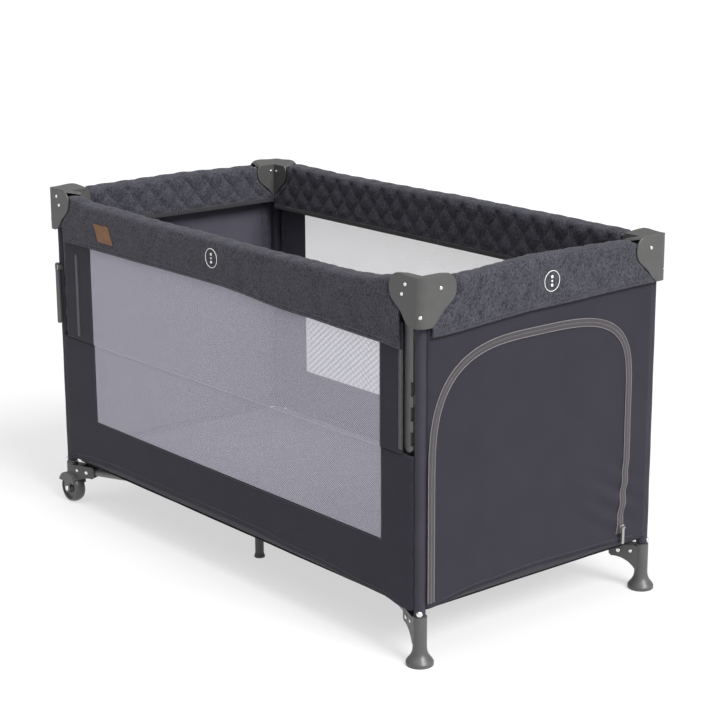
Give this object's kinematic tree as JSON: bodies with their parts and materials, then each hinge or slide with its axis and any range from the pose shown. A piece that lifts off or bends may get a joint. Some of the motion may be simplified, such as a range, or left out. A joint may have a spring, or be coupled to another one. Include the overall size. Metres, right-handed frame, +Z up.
{
  "type": "travel play yard",
  "caption": "Folding travel play yard: posts, folding rails and floor frame, mesh and cloth sides, drop side, zipped door end, wheels and mattress.",
  "frame": {"origin": "on the floor, under the middle of the yard", "axes": "+X along the length towards the zipped door end, -Y towards the drop side, +Z up"},
  "size_m": [1.2868, 0.655, 0.7418],
  "materials": {
    "steel_tube": "satin",
    "corner_plastic": "satin",
    "foot_plastic": "satin",
    "hub_plastic": "satin",
    "rivet_steel": "satin",
    "wheel_plastic": "satin",
    "latch_plastic": "satin",
    "button_plastic": "satin",
    "panel_cloth": "matte",
    "cover_cloth": "matte",
    "mattress_cloth": "matte",
    "floor_cloth": "matte",
    "zip_metal": "satin"
  },
  "bodies": {
    "front_right": {"post_front_right": "steel_tube", "casting_front_right": "corner_plastic", "bracket_front_right": "foot_plastic", "fasteners_front_right": "rivet_steel", "guide_front_right": "corner_plastic", "panel_front": "panel_cloth", "panel_right": "panel_cloth", "cover_right": "cover_cloth", "floor_cloth": "floor_cloth"},
    "front_left": {"post_front_left": "steel_tube", "casting_front_left": "corner_plastic", "bracket_front_left": "foot_plastic", "fasteners_front_left": "rivet_steel", "guide_front_left": "corner_plastic", "panel_left": "panel_cloth", "cover_left": "cover_cloth"},
    "back_right": {"post_back_right": "steel_tube", "casting_back_right": "corner_plastic", "bracket_back_right": "foot_plastic", "fasteners_back_right": "rivet_steel", "panel_back": "panel_cloth", "cover_back": "cover_cloth"},
    "back_left": {"post_back_left": "steel_tube", "casting_back_left": "corner_plastic", "bracket_back_left": "foot_plastic", "fasteners_back_left": "rivet_steel"},
    "floor_tube_front_right": {"floor_tube_front_right": "steel_tube"},
    "hub": {"hub_base": "hub_plastic", "hub_cap": "hub_plastic"},
    "floor_tube_front_left": {"floor_tube_front_left": "steel_tube"},
    "floor_tube_back_right": {"floor_tube_back_right": "steel_tube"},
    "floor_tube_back_left": {"floor_tube_back_left": "steel_tube"},
    "middle_leg_front": {"middle_leg_front": "hub_plastic"},
    "middle_leg_back": {"middle_leg_back": "hub_plastic"},
    "carriage_front_right": {"carriage_front_right": "latch_plastic", "cover_front": "cover_cloth"},
    "carriage_front_left": {"carriage_front_left": "latch_plastic"},
    "rail_front_right": {"rail_front_right": "steel_tube"},
    "latch_front": {"latch_front": "latch_plastic"},
    "latch_button_front": {"latch_button_front": "button_plastic"},
    "rail_front_left": {"rail_front_left": "steel_tube"},
    "rail_back_right": {"rail_back_right": "steel_tube"},
    "latch_back": {"latch_back": "latch_plastic"},
    "latch_button_back": {"latch_button_back": "button_plastic"},
    "rail_back_left": {"rail_back_left": "steel_tube"},
    "rail_right_front": {"rail_right_front": "steel_tube"},
    "latch_right": {"latch_right": "latch_plastic"},
    "latch_button_right": {"latch_button_right": "button_plastic"},
    "rail_right_back": {"rail_right_back": "steel_tube"},
    "rail_left_front": {"rail_left_front": "steel_tube"},
    "latch_left": {"latch_left": "latch_plastic"},
    "latch_button_left": {"latch_button_left": "button_plastic"},
    "rail_left_back": {"rail_left_back": "steel_tube"},
    "wheel_front_left": {"wheel_front_left": "wheel_plastic"},
    "wheel_back_left": {"wheel_back_left": "wheel_plastic"},
    "mattress": {"mattress": "mattress_cloth"},
    "zip_slider": {"zip_slider": "zip_metal"},
    "zip_pull": {"zip_pull": "zip_metal"},
    "release_lever": {"release_lever": "corner_plastic"}
  },
  "joints": [
    {"name": "fold", "type": "hinge", "parent": "front_right", "child": "floor_tube_front_right", "pos_m": [0.56995, -0.28236, 0.078], "axis": [0.4053, 0.9142, 0], "range_deg": [0, 82], "deforming": ["panel_front", "panel_right", "panel_left", "panel_back", "cover_front", "cover_right", "cover_left", "cover_back", "floor_cloth", "mattress"]},
    {"name": "hub_fold", "type": "hinge", "parent": "floor_tube_front_right", "child": "hub", "pos_m": [0.04895, -0.05136, 0.078], "axis": [-0.4053, -0.9142, 0], "range_deg": [0, 82]},
    {"name": "tube_fold_front_left", "type": "hinge", "parent": "hub", "child": "floor_tube_front_left", "pos_m": [-0.04895, -0.05136, 0.078], "axis": [0.4053, -0.9142, 0], "range_deg": [0, 82]},
    {"name": "corner_fold_front_left", "type": "hinge", "parent": "floor_tube_front_left", "child": "front_left", "pos_m": [-0.56995, -0.28236, 0.078], "axis": [-0.4053, 0.9142, 0], "range_deg": [0, 82]},
    {"name": "tube_fold_back_right", "type": "hinge", "parent": "hub", "child": "floor_tube_back_right", "pos_m": [0.04895, 0.05136, 0.078], "axis": [-0.4053, 0.9142, 0], "range_deg": [0, 82]},
    {"name": "corner_fold_back_right", "type": "hinge", "parent": "floor_tube_back_right", "child": "back_right", "pos_m": [0.56995, 0.28236, 0.078], "axis": [0.4053, -0.9142, 0], "range_deg": [0, 82]},
    {"name": "tube_fold_back_left", "type": "hinge", "parent": "hub", "child": "floor_tube_back_left", "pos_m": [-0.04895, 0.05136, 0.078], "axis": [-0.4053, -0.9142, 0], "range_deg": [0, 82]},
    {"name": "corner_fold_back_left", "type": "hinge", "parent": "floor_tube_back_left", "child": "back_left", "pos_m": [-0.56995, 0.28236, 0.078], "axis": [0.4053, 0.9142, 0], "range_deg": [0, 82]},
    {"name": "leg_fold_front", "type": "hinge", "parent": "hub", "child": "middle_leg_front", "pos_m": [-0.035, -0.085, 0.078], "axis": [1, 0, 0], "range_deg": [0, 82]},
    {"name": "leg_fold_back", "type": "hinge", "parent": "hub", "child": "middle_leg_back", "pos_m": [0.035, 0.085, 0.078], "axis": [-1, 0, 0], "range_deg": [0, 82]},
    {"name": "drop_side", "type": "slide", "parent": "front_right", "child": "carriage_front_right", "axis": [0, 0, 1], "range_m": [-0.141, 0]},
    {"name": "drop_side_left", "type": "slide", "parent": "front_left", "child": "carriage_front_left", "axis": [0, 0, 1], "range_m": [-0.141, 0]},
    {"name": "rail_fold_front_right", "type": "hinge", "parent": "carriage_front_right", "child": "rail_front_right", "pos_m": [0.561, -0.301, 0.7], "axis": [0, -1, 0], "range_deg": [0, 82]},
    {"name": "latch_fold_front", "type": "hinge", "parent": "rail_front_right", "child": "latch_front", "pos_m": [0.04, -0.301, 0.7], "axis": [0, 1, 0], "range_deg": [0, 82]},
    {"name": "latch_press_front", "type": "slide", "parent": "latch_front", "child": "latch_button_front", "axis": [0, 0, 1], "range_m": [0, 0.004], "stiffness_N_per_m": 400, "springref_m": -0.002},
    {"name": "rail_fold_front_left", "type": "hinge", "parent": "carriage_front_left", "child": "rail_front_left", "pos_m": [-0.561, -0.301, 0.7], "axis": [0, 1, 0], "range_deg": [0, 82]},
    {"name": "rail_fold_back_right", "type": "hinge", "parent": "back_right", "child": "rail_back_right", "pos_m": [0.561, 0.301, 0.717], "axis": [0, -1, 0], "range_deg": [0, 82]},
    {"name": "latch_fold_back", "type": "hinge", "parent": "rail_back_right", "child": "latch_back", "pos_m": [0.04, 0.301, 0.717], "axis": [0, 1, 0], "range_deg": [0, 82]},
    {"name": "latch_press_back", "type": "slide", "parent": "latch_back", "child": "latch_button_back", "axis": [0, 0, 1], "range_m": [0, 0.004], "stiffness_N_per_m": 400, "springref_m": -0.002},
    {"name": "rail_fold_back_left", "type": "hinge", "parent": "back_left", "child": "rail_back_left", "pos_m": [-0.561, 0.301, 0.717], "axis": [0, 1, 0], "range_deg": [0, 82]},
    {"name": "rail_fold_right_front", "type": "hinge", "parent": "front_right", "child": "rail_right_front", "pos_m": [0.612, -0.259, 0.72], "axis": [-1, 0, 0], "range_deg": [0, 82]},
    {"name": "latch_fold_right", "type": "hinge", "parent": "rail_right_front", "child": "latch_right", "pos_m": [0.612, -0.028, 0.72], "axis": [1, 0, 0], "range_deg": [0, 82]},
    {"name": "latch_press_right", "type": "slide", "parent": "latch_right", "child": "latch_button_right", "axis": [0, 0, 1], "range_m": [0, 0.004], "stiffness_N_per_m": 400, "springref_m": -0.002},
    {"name": "rail_fold_right_back", "type": "hinge", "parent": "back_right", "child": "rail_right_back", "pos_m": [0.612, 0.259, 0.72], "axis": [1, 0, 0], "range_deg": [0, 82]},
    {"name": "rail_fold_left_front", "type": "hinge", "parent": "front_left", "child": "rail_left_front", "pos_m": [-0.612, -0.259, 0.72], "axis": [-1, 0, 0], "range_deg": [0, 82]},
    {"name": "latch_fold_left", "type": "hinge", "parent": "rail_left_front", "child": "latch_left", "pos_m": [-0.612, -0.028, 0.72], "axis": [1, 0, 0], "range_deg": [0, 82]},
    {"name": "latch_press_left", "type": "slide", "parent": "latch_left", "child": "latch_button_left", "axis": [0, 0, 1], "range_m": [0, 0.004], "stiffness_N_per_m": 400, "springref_m": -0.002},
    {"name": "rail_fold_left_back", "type": "hinge", "parent": "back_left", "child": "rail_left_back", "pos_m": [-0.612, 0.259, 0.72], "axis": [1, 0, 0], "range_deg": [0, 82]},
    {"name": "wheel_spin_front_left", "type": "hinge", "parent": "front_left", "child": "wheel_front_left", "pos_m": [-0.613, -0.301, 0.034], "axis": [0, 1, 0], "continuous": true},
    {"name": "wheel_spin_back_left", "type": "hinge", "parent": "back_left", "child": "wheel_back_left", "pos_m": [-0.613, 0.301, 0.034], "axis": [0, 1, 0], "continuous": true},
    {"name": "mattress_lift", "type": "slide", "parent": "front_right", "child": "mattress", "axis": [0, 0, 1], "range_m": [0, 0.8]},
    {"name": "door_zip", "type": "slide", "parent": "back_right", "child": "zip_slider", "axis": [0, 0, 1], "range_m": [0, 0.3]},
    {"name": "zip_pull_swing", "type": "hinge", "parent": "zip_slider", "child": "zip_pull", "pos_m": [0.6346, 0.219, 0.154], "axis": [0, -1, 0], "range_deg": [0, 150]},
    {"name": "release_lever_pull", "type": "hinge", "parent": "front_left", "child": "release_lever", "pos_m": [-0.612, -0.3185, 0.56], "axis": [-1, 0, 0], "range_deg": [0, 12], "stiffness_Nm_per_rad": 1.5, "springref_deg": -5.73}
  ],
  "couplings": [
    {"joint": "hub_fold", "follows": "fold", "ratio": 1},
    {"joint": "tube_fold_front_left", "follows": "fold", "ratio": 1},
    {"joint": "corner_fold_front_left", "follows": "fold", "ratio": 1},
    {"joint": "tube_fold_back_right", "follows": "fold", "ratio": 1},
    {"joint": "corner_fold_back_right", "follows": "fold", "ratio": 1},
    {"joint": "tube_fold_back_left", "follows": "fold", "ratio": 1},
    {"joint": "corner_fold_back_left", "follows": "fold", "ratio": 1},
    {"joint": "leg_fold_front", "follows": "fold", "ratio": 1},
    {"joint": "leg_fold_back", "follows": "fold", "ratio": 1},
    {"joint": "drop_side_left", "follows": "drop_side", "ratio": 1},
    {"joint": "rail_fold_front_right", "follows": "fold", "ratio": 1},
    {"joint": "latch_fold_front", "follows": "fold", "ratio": 1},
    {"joint": "rail_fold_front_left", "follows": "fold", "ratio": 1},
    {"joint": "rail_fold_back_right", "follows": "fold", "ratio": 1},
    {"joint": "latch_fold_back", "follows": "fold", "ratio": 1},
    {"joint": "rail_fold_back_left", "follows": "fold", "ratio": 1},
    {"joint": "rail_fold_right_front", "follows": "fold", "ratio": 1},
    {"joint": "latch_fold_right", "follows": "fold", "ratio": 1},
    {"joint": "rail_fold_right_back", "follows": "fold", "ratio": 1},
    {"joint": "rail_fold_left_front", "follows": "fold", "ratio": 1},
    {"joint": "latch_fold_left", "follows": "fold", "ratio": 1},
    {"joint": "rail_fold_left_back", "follows": "fold", "ratio": 1}
  ]
}
